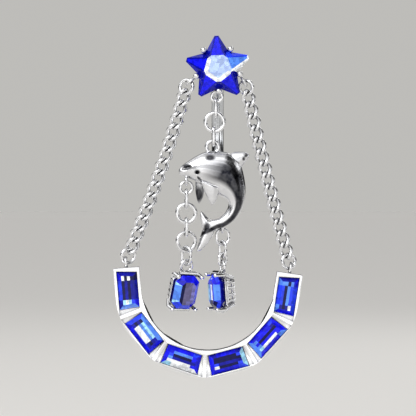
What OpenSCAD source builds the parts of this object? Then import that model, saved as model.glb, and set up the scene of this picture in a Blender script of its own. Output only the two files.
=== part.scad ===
// Navel ring that hangs from above: a star setting over the piercing, two long curb chains that carry a
// U-shaped bow of baguettes, and a centre chain with a leaping dolphin charm and two small drops.
// Millimetres. +Z is up, the front faces -Y, and the origin is on the curved bar's centre line where the
// bar runs straight up inside the piercing.

/* [Star stone and its setting] */
// Centre of the star stone to a tip
star_r = 4.3; // [3.8:0.1:5.2]
// Height of the star's centre above the origin
star_z = 8.9; // [8.2:0.1:9.6]
// Turn of the star, anticlockwise from the front
star_turn = 2.5; // [-8:0.5:8]
// Half the angle that a blunt tip of the star takes
tip_blunt = 3.5; // [2:0.5:6]
// Height of the star stone's crown above its girdle
star_crown = 1.1; // [0.8:0.05:1.4]
// Depth of the star stone's pavilion below its girdle
star_pavilion = 1.5; // [1.2:0.05:1.6]
// Thickness of a faceted stone's girdle
girdle_t = 0.12; // [0.08:0.01:0.2]
// Height of the star-shaped rail under the stone
star_rail_h = 0.7; // [0.5:0.05:0.8]
// Diameter of a claw in the star setting
star_claw_d = 0.62; // [0.5:0.02:0.7]
// Distance of the chains in front of the back of the plate
hang_out = 1.4; // [1.3:0.05:1.6]
// Diameter of the round plate behind the star
plate_d = 4.2; // [3.6:0.1:5]
// Thickness of that plate
plate_t = 0.55; // [0.45:0.05:0.7]
// Outside diameter of the star's side loops
side_loop_d = 1.8; // [1.7:0.05:1.9]
// Direction in which the left side loop points, anticlockwise from +X
left_loop_angle = 217; // [205:1:240]
// Direction in which the right side loop points
right_loop_angle = 300; // [290:1:320]
// Outside diameter of the star's bottom loop
bottom_loop_d = 1.8; // [1.6:0.05:2]

/* [Curved bar] */
// Diameter of the bar
bar_d = 1.6; // [1.2:0.1:2]
// Radius of the bar's bend, on its centre line
bend_r = 9.2; // [8.6:0.1:10]
// Diameter of the ball at the bar's lower end
ball_d = 5; // [4:0.1:5.4]
// Angle of the bend above the origin
bend_above = 60; // [56:1:61]
// Angle of the bend below the origin
bend_below = 15; // [8:1:18]

/* [Bow of baguettes] */
// Flat inner side of the bow to the bow's centre
bow_inner = 8.8; // [8.4:0.1:9.5]
// Wall of the channel beside the stones
bow_wall = 0.33; // [0.3:0.01:0.5]
// Depth of the channel, front to back
bow_t = 2; // [1.8:0.1:2.6]
// Angle that one baguette's cell takes
cell_angle = 33.3; // [32:0.1:34]
// Turn of the bow, clockwise from the front
bow_tilt = 2; // [-5:0.5:5]
// Sideways place of the bow's centre
bow_x = -1.35; // [-2:0.05:0]
// Height of the bow's centre, below the origin
bow_drop = 19.4; // [19:0.1:22]
// Length of a baguette along the bow, at its middle
baguette_l = 4.8; // [4.2:0.05:4.9]
// How much longer a baguette is on the bow's outer side than on its inner side
baguette_taper = 0.5; // [0:0.05:0.8]
// Width of a baguette, across the bow
baguette_w = 2.62; // [2.4:0.02:3]
// Width of the bar between two cells
cell_bar = 0.5; // [0.4:0.05:0.6]
// Wall at the bow's two ends
bow_end_wall = 0.5; // [0.4:0.05:0.8]
// Depth of a baguette from its table to its keel
baguette_t = 1.5; // [1.3:0.05:1.7]
// Width of the ledge that a baguette rests on
ledge_w = 0.3; // [0.25:0.01:0.34]
// Outside diameter of a loop on the bow's end
bow_loop_d = 1.7; // [1.6:0.05:1.8]

/* [Side chains] */
// Wire of a curb link
curb_wire = 0.42; // [0.36:0.01:0.43]
// Width across a curb link
curb_w = 1.95; // [1.85:0.01:2.15]
// Wanted step from one curb link to the next
curb_step = 1.64; // [1.5:0.01:1.9]
// Height of a curb link's twist, to each side of the chain's plane
curb_twist = 0.32; // [0.3:0.01:0.4]
// Outside diameter of the jump rings at the chains' ends
end_ring_d = 2.3; // [2.15:0.05:2.6]
// Bend of the left chain towards the middle
left_sag = 0.35; // [0:0.05:0.8]
// Bend of the right chain towards the middle
right_sag = 0.15; // [0:0.05:0.8]

/* [Rings and links in the middle] */
// Wire of the small loops and links
link_wire = 0.4; // [0.34:0.01:0.44]
// Wire of the large jump rings
ring_wire = 0.52; // [0.44:0.01:0.54]
// Outside diameter of the large jump rings
ring_d = 2.95; // [2.7:0.05:3.3]
// Width across an oval link
oval_w = 1.5; // [1.4:0.05:1.8]
// Shift of the star's bottom loop from the claw above it, to the left
bottom_loop_shift = 0.3; // [0:0.05:0.4]
// Sideways step from each link of the centre chain to the next
link_drift = -0.14; // [-0.2:0.01:0.2]
// Length of the oval link under the star
star_link_l = 2.92; // [2.7:0.05:3.4]
// Length of the oval link over the dolphin
dolphin_link_l = 2.8; // [2.6:0.05:3.2]
// Length of the oval links in the chain from the snout
snout_link_l = 2.75; // [2.5:0.05:3.2]
// Length of the oval links in the chain from the tail
tail_link_l = 2.5; // [2.3:0.05:2.8]
// Outside diameter of the small rings and bail loops
small_ring_d = 2; // [1.9:0.05:2.3]

/* [Dolphin] */
// Width of the dolphin, from the snout to the back
dolphin_w = 9.4; // [8.6:0.1:10]
// Height of the dolphin, from the top of its back to the lower fluke's tip
dolphin_h = 13.4; // [12.8:0.1:14]
// Thickness of the dolphin's body at the shoulder
dolphin_t = 2.8; // [2.4:0.1:3.2]
// Thickness of the fins and flukes
fin_t = 0.8; // [0.6:0.05:1]
// Outside diameter of the loop on the dolphin's back
dolphin_loop_d = 2.1; // [1.9:0.05:2.3]

/* [Emerald-cut drops] */
// Width of a drop's stone
drop_w = 3.5; // [3.1:0.05:3.8]
// Height of a drop's stone
drop_h = 4.6; // [4.2:0.05:5.2]
// Depth of a drop's stone from its table to its keel
drop_t = 2.3; // [2:0.05:2.6]
// Diameter of a drop's claw
drop_claw_d = 0.55; // [0.45:0.01:0.6]
// Depth of a drop's basket behind the girdle
basket_t = 2.1; // [1.9:0.05:2.5]
// Turn of the front drop to its right
front_drop_heading = 28; // [20:1:34]
// Turn of the side drop to its left, as a negative angle
side_drop_heading = -70; // [-76:1:-60]
// Thickness of the basket's rails and ribs
rail_t = 0.42; // [0.36:0.01:0.5]

/* [Clearances] */
// Gap between a stone and its setting
stone_gap = 0.06; // [0.04:0.01:0.08]
// Gap between two links where they hook together
link_gap = 0.06; // [0.04:0.01:0.12]
// Gap between the loose links of a curb chain
curb_gap = 0.13; // [0.12:0.01:0.15]
// Gap round the bar's end in its cup
cup_gap = 0.06; // [0.05:0.01:0.09]

/* [Hidden] */
$fn = 48;
STAR_TIPS = 5;
CELLS = 6;

silver = [0.84, 0.84, 0.85];
old_silver = [0.52, 0.52, 0.54];
steel = [0.7, 0.71, 0.72];
sapphire = [0.08, 0.16, 0.8];

// Curved bar: the point at an angle above the origin, in the plane of the bend
function on_bend(a) = [0, bend_r * (cos(a) - 1), bend_r * sin(a)];
bar_top = on_bend(bend_above);
BALL_SEAT = 0.44;
ball_at = on_bend(-bend_below) + ball_d * BALL_SEAT * [0, -sin(bend_below), -cos(bend_below)];

// Star: the plate's back is where the bar's end meets it, and the stone's girdle is in front of the rail
plate_back = bar_top[1];
CUP_HEIGHT = 0.375;
CUP_WALL = 0.28;
cup_h = bar_d * CUP_HEIGHT;
cup_wall = bar_d * CUP_WALL;
culet_gap = 2 * stone_gap;
CLAW_BALL = 1.3;
CLAW_RISE = 0.73;
CLAW_SEAT = 0.54;
claw_ball_d = star_claw_d * CLAW_BALL;
claw_rise = star_claw_d * CLAW_RISE;
girdle_back = plate_back - plate_t - culet_gap - star_pavilion;
girdle_front = girdle_back - girdle_t;
// Shares of the star: how far the rail lies down the pavilion, the notch, the table and the rail's edges
RAIL_DEPTH = 0.21;
NOTCH = 0.61;
TABLE = 0.42;
RAIL_OUT = 0.97;
RAIL_IN = 0.815;
CLAW_FOOT = 0.42;
rail_front = girdle_back + star_pavilion * RAIL_DEPTH;
rail_back = rail_front + star_rail_h;
notch_r = star_r * NOTCH;
table_r = star_r * TABLE;
claw_r = notch_r + star_claw_d * CLAW_SEAT + stone_gap;
function around_star(r, a, y = 0) = [r * cos(a), y, star_z + r * sin(a)];
function tip_angle(i) = 90 + star_turn + 360 / STAR_TIPS * i;
function notch_angle(i) = tip_angle(i) + 180 / STAR_TIPS;

// Plane in which the chains and charms hang
hang_y = plate_back - hang_out;

// Centre-line radii of the rings, and half the centre-line length of the oval links
end_ring_r = (end_ring_d - curb_wire) / 2;
ring_r = (ring_d - ring_wire) / 2;
small_ring_r = (small_ring_d - link_wire) / 2;
bottom_loop_r = (bottom_loop_d - link_wire) / 2;
dolphin_loop_r = (dolphin_loop_d - ring_wire) / 2;
side_loop_r = (side_loop_d - link_wire) / 2;
BODY_LOOP = 0.83;
body_loop_d = side_loop_d * BODY_LOOP;
body_loop_r = (body_loop_d - link_wire) / 2;
star_link_r = (star_link_l - link_wire) / 2;
dolphin_link_r = (dolphin_link_l - link_wire) / 2;
snout_link_r = (snout_link_l - link_wire) / 2;
tail_link_r = (tail_link_l - link_wire) / 2;
TAIL_END_LINK = 0.76;
tail_end_link_l = tail_link_l * TAIL_END_LINK;
tail_end_link_r = (tail_end_link_l - link_wire) / 2;

// Distance between the centres of two hooked rings, and the place of the one that hangs below another,
// where it may lie a little to the side and then hangs a little higher
DRIFT_LIFT = 0.3;
function hooked(r1, w1, r2, w2) = r1 + r2 - (w1 + w2) / 2 - link_gap;
function below(at, r1, w1, r2, w2, drift = 0) =
    at + [drift, 0, abs(drift) * DRIFT_LIFT - hooked(r1, w1, r2, w2)];

// How far the star's loops stand out from their claws, as shares of their radius
BOTTOM_LOOP_OUT = 0.5;
SIDE_LOOP_OUT = 0.9;

// Centre chain, from the star's bottom loop to the dolphin's back
bottom_loop_out = claw_r + star_claw_d / 2 + bottom_loop_r * BOTTOM_LOOP_OUT;
bottom_loop_at = around_star(bottom_loop_out, notch_angle(2), hang_y) - [bottom_loop_shift, 0, 0];
star_link_at = below(bottom_loop_at, bottom_loop_r, link_wire, star_link_r, link_wire, link_drift);
centre_ring_at = below(star_link_at, star_link_r, link_wire, ring_r, ring_wire, link_drift);
dolphin_link_at = below(centre_ring_at, ring_r, ring_wire, dolphin_link_r, link_wire, link_drift);
dolphin_loop_at = below(dolphin_link_at, dolphin_link_r, link_wire, dolphin_loop_r, ring_wire, link_drift);

// Dolphin: a place in its box, as shares of its width from the snout and of its height from the top
LOOP_SHARE = [0.478, -0.035];
function on_dolphin(share, y = 0) = dolphin_loop_at
    + [(share[0] - LOOP_SHARE[0]) * dolphin_w, y, -(share[1] - LOOP_SHARE[1]) * dolphin_h];
// Sections from the snout to the flukes: back across, back down, belly across, belly down, half thickness
BODY = [
    [0.008, 0.190, 0.010, 0.222, 0.16],
    [0.060, 0.142, 0.060, 0.248, 0.40],
    [0.120, 0.110, 0.120, 0.262, 0.52],
    [0.175, 0.090, 0.172, 0.280, 0.62],
    [0.260, 0.052, 0.253, 0.308, 0.78],
    [0.378, 0.013, 0.347, 0.343, 0.92],
    [0.530, 0.010, 0.428, 0.382, 1.00],
    [0.710, 0.026, 0.516, 0.422, 1.00],
    [0.865, 0.130, 0.597, 0.453, 0.94],
    [0.934, 0.308, 0.660, 0.475, 0.82],
    [0.938, 0.460, 0.697, 0.512, 0.70],
    [0.900, 0.563, 0.694, 0.556, 0.62],
    [0.822, 0.660, 0.653, 0.611, 0.55],
    [0.703, 0.730, 0.572, 0.664, 0.48],
    [0.584, 0.765, 0.484, 0.681, 0.40],
    [0.472, 0.804, 0.403, 0.716, 0.30]
];
BODY_SIDES = 14;
// Outlines of the fins: share across, share down
FLUKES = [
    [0.50, 0.70], [0.42, 0.66], [0.31, 0.585], [0.295, 0.65], [0.335, 0.735], [0.31, 0.78],
    [0.33, 0.84], [0.285, 0.925], [0.25, 1.00], [0.31, 0.975], [0.40, 0.90], [0.48, 0.815]
];
BREAST_FIN = [[0.34, 0.32], [0.385, 0.42], [0.44, 0.535], [0.50, 0.50], [0.545, 0.43], [0.50, 0.36]];
FAR_FIN = [[0.25, 0.28], [0.235, 0.40], [0.27, 0.50], [0.335, 0.525], [0.355, 0.44], [0.37, 0.32]];
BACK_FIN = [[0.64, 0.07], [0.78, 0.015], [1.00, 0.04], [0.965, 0.10], [0.90, 0.18], [0.78, 0.16]];

// Depths of the breast fins and of the tail's loop, as shares of the body's thickness
NEAR_FIN_DEPTH = -0.275;
FAR_FIN_DEPTH = 0.225;
TAIL_LOOP_DEPTH = 0.24;

// Turns of the rings and links in the short chains about the vertical, and the wide tail link's share
SNOUT_RING_TURN = 8;
SNOUT_LINK_TURN = 95;
UPPER_RING_TURN = 6;
DROP_LINK_TURN = 98;
LOWER_RING_TURN = 16;
BAIL_LINK_TURN = -44;
TAIL_UPPER_TURN = 12;
TAIL_MIDDLE_TURN = -52;
TAIL_LOWER_TURN = 34;
TAIL_MIDDLE_WIDTH = 1.1;

// Radius that a tipped bail loop reaches up, with some slack for its tip
BAIL_SLACK = 0.16;
function bail_reach(turn) = small_ring_r * (cos(turn[0]) - BAIL_SLACK);

// Chain from the snout to the front drop
snout_loop_at = on_dolphin([0.110, 0.298]);
snout_ring_at = below(snout_loop_at, body_loop_r, link_wire, small_ring_r, link_wire);
snout_link_at = below(snout_ring_at, small_ring_r, link_wire, snout_link_r, link_wire);
upper_drop_ring_at = below(snout_link_at, snout_link_r, link_wire, ring_r, ring_wire);
drop_link_at = below(upper_drop_ring_at, ring_r, ring_wire, snout_link_r, link_wire);
lower_drop_ring_at = below(drop_link_at, snout_link_r, link_wire, ring_r, ring_wire);
bail_link_at = below(lower_drop_ring_at, ring_r, ring_wire, snout_link_r, link_wire);
// Tip to the front, lean to the side and heading of a drop
front_drop_turn = [18, 3, front_drop_heading];
front_bail_at = below(bail_link_at, snout_link_r, link_wire, bail_reach(front_drop_turn), link_wire);

// Chain from behind the tail stock to the side drop
tail_loop_at = on_dolphin([0.62, 0.765], dolphin_t * TAIL_LOOP_DEPTH);
tail_upper_at = below(tail_loop_at, body_loop_r, link_wire, tail_link_r, link_wire);
tail_middle_at = below(tail_upper_at, tail_link_r, link_wire, tail_link_r, link_wire);
tail_lower_at = below(tail_middle_at, tail_link_r, link_wire, tail_end_link_r, link_wire);
side_drop_turn = [4, 0, side_drop_heading];
side_bail_at = below(tail_lower_at, tail_end_link_r, link_wire, bail_reach(side_drop_turn), link_wire);

// A drop's own parts, measured from its stone's girdle: the cut of its corners, the basket's share of the
// stone's size at its front and back rails, the claws' place outside the corners, and the ribs' heights
DROP_CUT = 0.24;
BASKET_FRONT = 1.04;
BASKET_BACK = 0.8;
RAIL_DOWN = 0.18;
CLAW_OUT = 0.29;
CLAW_CORNER = 0.22;
CLAW_BACK = 0.76;
CLAW_REACH = 0.29;
RIBS_FRONT = 0.29;
RIBS_BACK = 0.24;
RIB_SHARE = 0.95;
BAIL_SEAT = 0.35;
bail_back = basket_t / 2;
bail_up = drop_h / 2 + rail_t * BAIL_SEAT + small_ring_r;

// Bow
bow_at = [bow_x, hang_y, -bow_drop];
band_w = baguette_w + 2 * (bow_wall + stone_gap);
bow_mid = bow_inner + band_w / 2;
bow_start = 270 - CELLS * cell_angle / 2 - bow_tilt;
bow_reach = baguette_l / 2 + stone_gap + bow_end_wall;
function cell_middle(i) = bow_start + (i + 0.5) * cell_angle;
baguette_proud = 0.05;
LEDGE_DEPTH = 0.66;
ledge_y = baguette_t * LEDGE_DEPTH - baguette_proud;
// A place in a cell's own frame: outwards from the bow's centre, and along the bow
function in_bow(i, out, along) =
    let (a = cell_middle(i))
    [out * cos(a) - along * sin(a), out * sin(a) + along * cos(a)];
function on_end(i, along) = let (p = in_bow(i, bow_mid, along)) bow_at + [p[0], 0, p[1]];
bow_loop_r = (bow_loop_d - link_wire) / 2;
BOW_LOOP_SEAT = 0.45;
bow_loop_lift = bow_loop_d / 2 - link_wire * BOW_LOOP_SEAT;
left_loop_at = on_end(0, -bow_reach - bow_loop_lift);
right_loop_at = on_end(CELLS - 1, bow_reach + bow_loop_lift);

// Side chains: the star's side loops, and the centres of the jump rings at both ends of each chain
side_loop_out = star_claw_d / 2 + side_loop_r * SIDE_LOOP_OUT;
function heading(a) = [cos(a), 0, sin(a)];
left_side_loop = around_star(claw_r, notch_angle(1), hang_y) + side_loop_out * heading(left_loop_angle);
right_side_loop = around_star(claw_r, notch_angle(3), hang_y) + side_loop_out * heading(right_loop_angle);
// How much closer the turned end rings hook, at the star and at the bow, as shares of the wire
STAR_HOOK_SLACK = 0.55;
BOW_HOOK_SLACK = 0.45;
end_hook = hooked(side_loop_r, link_wire, end_ring_r, curb_wire) - STAR_HOOK_SLACK * link_wire;
bow_hook = hooked(bow_loop_r, link_wire, end_ring_r, curb_wire) - BOW_HOOK_SLACK * link_wire;
function toward(a, b) = unit(b - a);
// A chain's top ring hangs halfway between the direction of its loop and that of the chain
left_top = left_side_loop
    + end_hook * unit(heading(left_loop_angle) + toward(left_side_loop, left_loop_at));
right_top = right_side_loop
    + end_hook * unit(heading(right_loop_angle) + toward(right_side_loop, right_loop_at));
left_foot = left_loop_at + bow_hook * toward(left_loop_at, left_top);
right_foot = right_loop_at + bow_hook * toward(right_loop_at, right_top);
END_RING_TURN = 26;

CURB_RINGS = 16;
WIRE_SIDES = 6;

// How much wider than its bar a ball at a bar's end is
BALL_SHARE = 1.08;

// A closed skin over rings of points, each ring anticlockwise when seen along the loft
module loft(rings) {
    n = len(rings[0]);
    last = (len(rings) - 1) * n;
    polyhedron(
        points = [for (ring = rings) for (p = ring) p],
        faces = [
            [for (i = [n - 1:-1:0]) i],
            for (k = [0:len(rings) - 2])
                for (i = [0:n - 1])
                    [k * n + i, k * n + (i + 1) % n, (k + 1) * n + (i + 1) % n, (k + 1) * n + i],
            [for (i = [0:n - 1]) last + i]
        ],
        convexity = 6
    );
}

// The same skin, closed from its last ring to its first
module closed_loft(rings) {
    n = len(rings[0]);
    m = len(rings);
    polyhedron(
        points = [for (ring = rings) for (p = ring) p],
        faces = [
            for (k = [0:m - 1])
                for (i = [0:n - 1])
                    [k * n + i, k * n + (i + 1) % n,
                     ((k + 1) % m) * n + (i + 1) % n, ((k + 1) % m) * n + i]
        ],
        convexity = 6
    );
}

// A round wire ring that faces the front, turned about the vertical
module wire_ring(at, r, wire, turn = 0) {
    translate(at) rotate([90, 0, turn])
        rotate_extrude() translate([r, 0]) circle(d = wire);
}

// An oval link that stands upright: two half rings and two straight sides
module oval_link(at, l, w, wire, turn = 0) {
    r = (w - wire) / 2;
    side = l - w;
    translate(at) rotate([90, 0, turn]) {
        for (end = [0, 1])
            translate([0, (end - 0.5) * side, 0]) rotate([0, 0, 180 * (1 - end)])
                rotate_extrude(angle = 180) translate([r, 0]) circle(d = wire);
        for (s = [-1, 1])
            translate([s * r, -side / 2, 0]) rotate([-90, 0, 0]) cylinder(h = side, d = wire);
    }
}

// A round bar between two points, with a slightly wider ball at the far end
module rod(from, to, d) {
    v = to - from;
    translate(from) rotate([0, acos(v[2] / norm(v)), atan2(v[1], v[0])]) {
        cylinder(h = norm(v), d = d);
        translate([0, 0, norm(v)]) sphere(d = d * BALL_SHARE);
    }
}

// Outline of a step-cut stone, anticlockwise from the front, with its corners cut off
function step_outline(w, h, cut) = [
    [w / 2, cut - h / 2], [w / 2, h / 2 - cut], [w / 2 - cut, h / 2], [cut - w / 2, h / 2],
    [-w / 2, h / 2 - cut], [-w / 2, cut - h / 2], [cut - w / 2, -h / 2], [w / 2 - cut, -h / 2]
];

// Outline of a baguette that is longer on its right side
function baguette_outline(w, h, taper) =
    let (more = h + taper / 2, less = h - taper / 2)
    [[w, -more] / 2, [w, more] / 2, [-w, less] / 2, [-w, -less] / 2];

// Steps of a stone from its table to its keel: how far in, as a share of half the width, and how deep
STEPS = [[0.42, 0], [0.20, 0.16], [0, 0.30], [0, 0.36], [0.22, 0.56], [0.52, 0.82], [0.80, 1]];

// A step-cut stone that faces the front, with its table at y = 0
module step_stone(w, h, depth, cut) {
    loft([
        for (s = STEPS)
            [for (p = step_outline(w * (1 - s[0]), h - w * s[0], cut * (1 - s[0])))
                [p[0], s[1] * depth, p[1]]]
    ]);
}

module barbell() {
    color(steel) {
        rotate([90, 0, 90]) translate([-bend_r, 0, 0]) rotate([0, 0, -bend_below])
            rotate_extrude(angle = bend_above + bend_below) translate([bend_r, 0]) circle(d = bar_d);
        rod(on_bend(-bend_below), ball_at, bar_d);
        translate(ball_at) sphere(d = ball_d);
    }
}

// Outline of the star: both corners of each blunt tip, and then the notch
function star_outline(share) = [
    for (i = [0:STAR_TIPS - 1])
        let (
            before = [star_r, tip_angle(i) - tip_blunt],
            after = [star_r, tip_angle(i) + tip_blunt]
        )
        for (p = [before, after, [notch_r, notch_angle(i)]])
            share * p[0] * [cos(p[1]), sin(p[1])]
];

// Something drawn flat, given a thickness from a front plane towards the back
module standing(front, t) {
    translate([0, front + t, star_z]) rotate([90, 0, 0]) linear_extrude(t) children();
}

// The cup behind the plate, along the bar's end
module on_bar_end() {
    translate(bar_top) rotate([bend_above, 0, 0]) children();
}

module star_setting() {
    color(silver) {
        difference() {
            union() {
                translate([0, plate_back, star_z]) rotate([90, 0, 0]) cylinder(h = plate_t, d = plate_d);
                on_bar_end() translate([0, 0, -cup_h]) cylinder(h = 2 * cup_h, d = bar_d + 2 * cup_wall);
            }
            on_bar_end() translate([0, 0, -2 * cup_h])
                cylinder(h = 2 * cup_h + cup_gap, d = bar_d + 2 * cup_gap);
            translate([-plate_d, plate_back - plate_t - 2 * cup_h, star_z - plate_d])
                cube([2 * plate_d, 2 * cup_h, 2 * plate_d]);
        }
        standing(rail_front, star_rail_h) difference() {
            polygon(star_outline(RAIL_OUT));
            polygon(star_outline(RAIL_IN));
        }
        for (i = [0:STAR_TIPS - 1]) {
            a = notch_angle(i);
            foot = around_star(plate_d * CLAW_FOOT, a, plate_back - plate_t / 2);
            knee = around_star(claw_r, a, rail_back);
            tip = around_star(claw_r, a, girdle_front - claw_rise);
            rod(foot, knee, star_claw_d);
            rod(knee, tip, star_claw_d);
            translate(tip) sphere(d = claw_ball_d);
        }
        for (side = [[left_side_loop, left_loop_angle], [right_side_loop, right_loop_angle]])
            translate(side[0]) rotate([0, -side[1], 0])
                rotate_extrude() translate([side_loop_r, 0]) circle(d = link_wire);
        wire_ring(bottom_loop_at, bottom_loop_r, link_wire);
    }
}

// Star stone: a pentagon table, five facets to each arm, a girdle and fifteen facets behind
module star_stone() {
    rim = star_outline(1);
    rim_n = len(rim);
    table = [for (i = [0:STAR_TIPS - 1]) table_r * [cos(notch_angle(i)), sin(notch_angle(i))]];
    color(sapphire) translate([0, girdle_front, star_z]) polyhedron(
        points = [
            for (p = table) [p[0], -star_crown, p[1]],
            for (p = rim) [p[0], 0, p[1]],
            for (p = rim) [p[0], girdle_t, p[1]],
            [0, girdle_t + star_pavilion, 0]
        ],
        faces = [
            [for (i = [STAR_TIPS - 1:-1:0]) i],
            for (i = [0:STAR_TIPS - 1])
                let (
                    back = (i + STAR_TIPS - 1) % STAR_TIPS,
                    first = STAR_TIPS + 3 * i,
                    notch_before = STAR_TIPS + (3 * i + rim_n - 1) % rim_n
                )
                each [
                    [back, i, first + 1], [back, first + 1, first],
                    [back, first, notch_before], [i, first + 2, first + 1]
                ],
            for (i = [0:rim_n - 1])
                let (a = STAR_TIPS + i, b = STAR_TIPS + (i + 1) % rim_n)
                each [
                    [a, b, b + rim_n, a + rim_n],
                    [a + rim_n, b + rim_n, STAR_TIPS + 2 * rim_n]
                ]
        ],
        convexity = 6
    );
}

// One curb link: an oval whose wire rises and falls twice as it goes round
function curb_point(t, a, b) = [b * sin(t), curb_twist * sin(2 * t), a * cos(t)];
function curb_along(t, a, b) = [b * cos(t), 2 * curb_twist * cos(2 * t), -a * sin(t)];
function unit(v) = v / norm(v);
module curb_link(a, b) {
    closed_loft([
        for (k = [0:CURB_RINGS - 1])
            let (
                t = 360 * k / CURB_RINGS,
                at = curb_point(t, a, b),
                along = unit(curb_along(t, a, b)),
                out = [at[0], 0, at[2]],
                up = unit(out - (out * along) * along),
                right = cross(along, up)
            )
            [for (i = [0:WIRE_SIDES - 1])
                let (f = 360 * i / WIRE_SIDES)
                at + curb_wire / 2 * (cos(f) * right + sin(f) * up)]
    ]);
}

// A curb chain from one jump ring to another, bent a little to the right where sag is negative
module side_chain(top, foot, sag) {
    span = norm(foot - top);
    side = sag * unit(cross([0, 1, 0], foot - top));
    function on_route(s) = top + s * (foot - top) + 4 * s * (1 - s) * side;
    // The step makes this come out even: 2 * (ring to first link) + (count - 1) * step = span
    ring_reach = end_ring_r - (curb_wire + curb_gap) / 2;
    count = round((span - 2 * ring_reach) / curb_step);
    step = (span - 2 * ring_reach) / count;
    a = (step + curb_wire + curb_gap) / 2;
    b = (curb_w - curb_wire) / 2;
    first = (ring_reach + step / 2) / span;
    for (k = [0:count - 1]) {
        s = first + (1 - 2 * first) * k / (count - 1);
        translate(on_route(s)) rotate([0, lean(on_route(s + 0.01) - on_route(s - 0.01)), 0])
            curb_link(a, b);
    }
    for (end = [[top, -END_RING_TURN], [foot, END_RING_TURN]])
        translate(end[0]) rotate([0, lean(foot - top), 0])
            wire_ring([0, 0, 0], end_ring_r, curb_wire, end[1]);
}

// Turn about Y that stands a link's own Z along a step of the chain
function lean(v) = atan2(v[0], v[2]) - 180;

module left_chain() {
    color(silver) side_chain(left_top, left_foot, -left_sag);
}

module right_chain() {
    color(silver) side_chain(right_top, right_foot, right_sag);
}

module star_link() {
    color(silver) oval_link(star_link_at, star_link_l, oval_w, link_wire, 90);
}

module centre_ring() {
    color(silver) wire_ring(centre_ring_at, ring_r, ring_wire);
}

module dolphin_link() {
    color(silver) oval_link(dolphin_link_at, dolphin_link_l, oval_w, link_wire, 90);
}

// A flat fin from its outline
module fin(outline, y) {
    translate([0, hang_y + y + fin_t / 2, 0]) rotate([90, 0, 0])
        linear_extrude(fin_t) polygon([for (p = outline) let (q = on_dolphin(p)) [q[0], q[2]]]);
}

module dolphin() {
    half_t = dolphin_t / 2;
    color(old_silver) {
        loft([
            for (row = BODY)
                let (
                    back = on_dolphin([row[0], row[1]]),
                    belly = on_dolphin([row[2], row[3]])
                )
                [for (i = [0:BODY_SIDES - 1])
                    let (f = 360 * i / BODY_SIDES)
                    (back + belly) / 2 + (back - belly) / 2 * sin(f)
                        - [0, half_t * row[4] * cos(f), 0]]
        ]);
        fin(FLUKES, 0);
        fin(BREAST_FIN, dolphin_t * NEAR_FIN_DEPTH);
        fin(FAR_FIN, dolphin_t * FAR_FIN_DEPTH);
        fin(BACK_FIN, 0);
        wire_ring(dolphin_loop_at, dolphin_loop_r, ring_wire);
        wire_ring(snout_loop_at, body_loop_r, link_wire, 90);
        wire_ring(tail_loop_at, body_loop_r, link_wire, 90);
    }
}

module snout_ring() {
    color(silver) wire_ring(snout_ring_at, small_ring_r, link_wire, SNOUT_RING_TURN);
}

module snout_link() {
    color(silver) oval_link(snout_link_at, snout_link_l, oval_w, link_wire, SNOUT_LINK_TURN);
}

module upper_drop_ring() {
    color(silver) wire_ring(upper_drop_ring_at, ring_r, ring_wire, UPPER_RING_TURN);
}

module drop_link() {
    color(silver) oval_link(drop_link_at, snout_link_l, oval_w, link_wire, DROP_LINK_TURN);
}

module lower_drop_ring() {
    color(silver) wire_ring(lower_drop_ring_at, ring_r, ring_wire, LOWER_RING_TURN);
}

module bail_link() {
    color(silver) oval_link(bail_link_at, snout_link_l, small_ring_d, link_wire, BAIL_LINK_TURN);
}

// Moves a drop, turned as a whole, so that its bail loop comes to the given place
module hang_drop(bail_at, turn) {
    translate(bail_at) rotate(turn) translate([0, -bail_back, -bail_up]) children();
}

// A drop's setting: two rails, four claws with balls, ribs from front to back and a bail loop on top
module drop_setting() {
    cut = DROP_CUT * drop_w;
    claw_x = drop_w / 2 - cut * CLAW_CORNER;
    claw_z = drop_h / 2 - cut * CLAW_CORNER;
    front_y = girdle_t + drop_t * RAIL_DOWN;
    back_y = basket_t - rail_t / 2;
    claw_out = CLAW_OUT * drop_claw_d;
    module rail(y, share) {
        w = drop_w * share;
        h = drop_h - drop_w * (1 - share);
        translate([0, y + rail_t, 0]) rotate([90, 0, 0]) linear_extrude(rail_t) difference() {
            polygon(step_outline(w, h, cut * share));
            polygon(step_outline(w - 2 * rail_t, h - 2 * rail_t, cut * share - rail_t * (2 - sqrt(2))));
        }
    }
    rail(front_y, BASKET_FRONT);
    rail(basket_t - rail_t, BASKET_BACK);
    for (sx = [-1, 1]) for (sz = [-1, 1]) {
        back = [sx * claw_x * CLAW_BACK, back_y, sz * (claw_z - claw_x * (1 - CLAW_BACK))];
        mid = [sx * (claw_x + claw_out), front_y, sz * (claw_z + claw_out)];
        rod(back, mid, drop_claw_d);
        rod(mid, [mid[0], -drop_t * CLAW_REACH, mid[2]], drop_claw_d);
    }
    for (sx = [-1, 1]) for (sz = [-1, 1])
        rod([sx * (drop_w * BASKET_BACK - rail_t) / 2, back_y, sz * drop_h * RIBS_BACK],
            [sx * (drop_w * BASKET_FRONT - rail_t) / 2, front_y + rail_t / 2, sz * drop_h * RIBS_FRONT],
            rail_t * RIB_SHARE);
    wire_ring([0, bail_back, bail_up], small_ring_r, link_wire);
}

// A drop's stone, with its girdle at y = 0
module drop_stone() {
    translate([0, -drop_t * STEPS[3][1], 0]) step_stone(drop_w, drop_h, drop_t, DROP_CUT * drop_w);
}

module front_drop_setting() {
    color(silver) hang_drop(front_bail_at, front_drop_turn) drop_setting();
}

module front_drop_stone() {
    color(sapphire) hang_drop(front_bail_at, front_drop_turn) drop_stone();
}

module tail_link_upper() {
    color(silver) oval_link(tail_upper_at, tail_link_l, small_ring_d, link_wire, TAIL_UPPER_TURN);
}

module tail_link_middle() {
    color(silver)
        oval_link(tail_middle_at, tail_link_l, oval_w * TAIL_MIDDLE_WIDTH, link_wire, TAIL_MIDDLE_TURN);
}

module tail_link_lower() {
    color(silver) oval_link(tail_lower_at, tail_end_link_l, oval_w, link_wire, TAIL_LOWER_TURN);
}

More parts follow.
